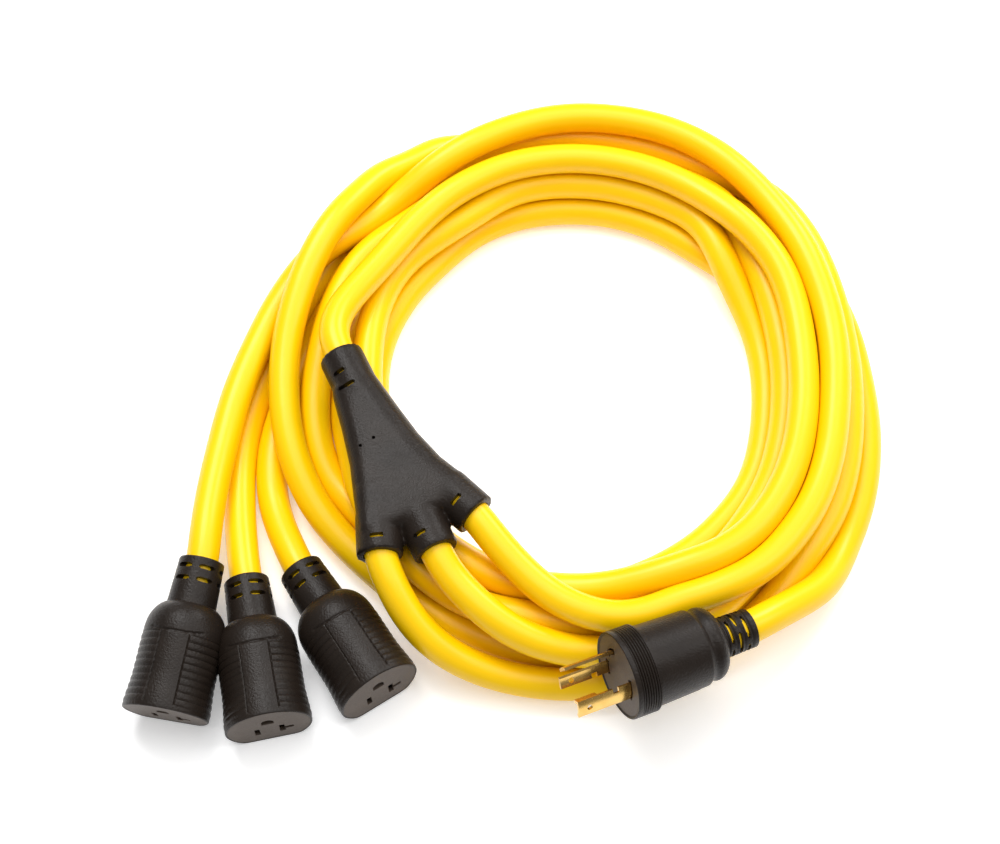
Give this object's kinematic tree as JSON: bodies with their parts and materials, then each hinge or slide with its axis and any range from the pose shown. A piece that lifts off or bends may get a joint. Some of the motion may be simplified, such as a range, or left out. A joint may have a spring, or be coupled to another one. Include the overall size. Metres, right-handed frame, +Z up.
{
  "type": "power cord",
  "caption": "Heavy coiled power cord with a locking blade plug, a moulded splitter and short branch cords that end in socket connectors.",
  "frame": {"origin": "on the floor, under the middle of the moulded fittings' box", "axes": "+X along the row of fittings, from the connectors to the plug, +Y from the fittings across the coil, +Z up"},
  "size_m": [0.4057, 0.3831, 0.0757],
  "materials": {
    "cord_jacket": "glossy yellow PVC",
    "moulding": "satin, finely textured",
    "insert_face": "satin",
    "brass": "polished",
    "copper": "plain",
    "wire_green": "satin",
    "wire_black": "satin",
    "wire_white": "satin"
  },
  "bodies": {
    "root": {"main_cord_coil": "cord_jacket", "main_cord_splitter_end": "cord_jacket", "main_cord_plug_end": "cord_jacket", "branch_cord_left": "cord_jacket", "branch_cord_middle": "cord_jacket", "branch_cord_right": "cord_jacket", "plug_body": "moulding", "plug_strain_relief": "moulding", "plug_face": "insert_face", "plug_blade_ground": "brass", "plug_blade_hot": "brass", "plug_blade_neutral": "brass", "plug_wire_ground": "wire_green", "plug_wire_hot": "wire_black", "plug_wire_neutral": "wire_white", "splitter_body": "moulding", "splice_ferrule_ground": "copper", "splice_ferrule_hot": "copper", "splice_ferrule_neutral": "copper", "splice_wires_ground": "wire_green", "splice_wires_hot": "wire_black", "splice_wires_neutral": "wire_white", "connector_left_body": "moulding", "connector_left_face": "insert_face", "connector_left_contact_ground": "brass", "connector_left_contact_hot": "brass", "connector_left_contact_neutral": "brass", "connector_left_wire_ground": "wire_green", "connector_left_wire_hot": "wire_black", "connector_left_wire_neutral": "wire_white", "connector_middle_body": "moulding", "connector_middle_face": "insert_face", "connector_middle_contact_ground": "brass", "connector_middle_contact_hot": "brass", "connector_middle_contact_neutral": "brass", "connector_middle_wire_ground": "wire_green", "connector_middle_wire_hot": "wire_black", "connector_middle_wire_neutral": "wire_white", "connector_right_body": "moulding", "connector_right_face": "insert_face", "connector_right_contact_ground": "brass", "connector_right_contact_hot": "brass", "connector_right_contact_neutral": "brass", "connector_right_wire_ground": "wire_green", "connector_right_wire_hot": "wire_black", "connector_right_wire_neutral": "wire_white"}
  },
  "joints": []
}
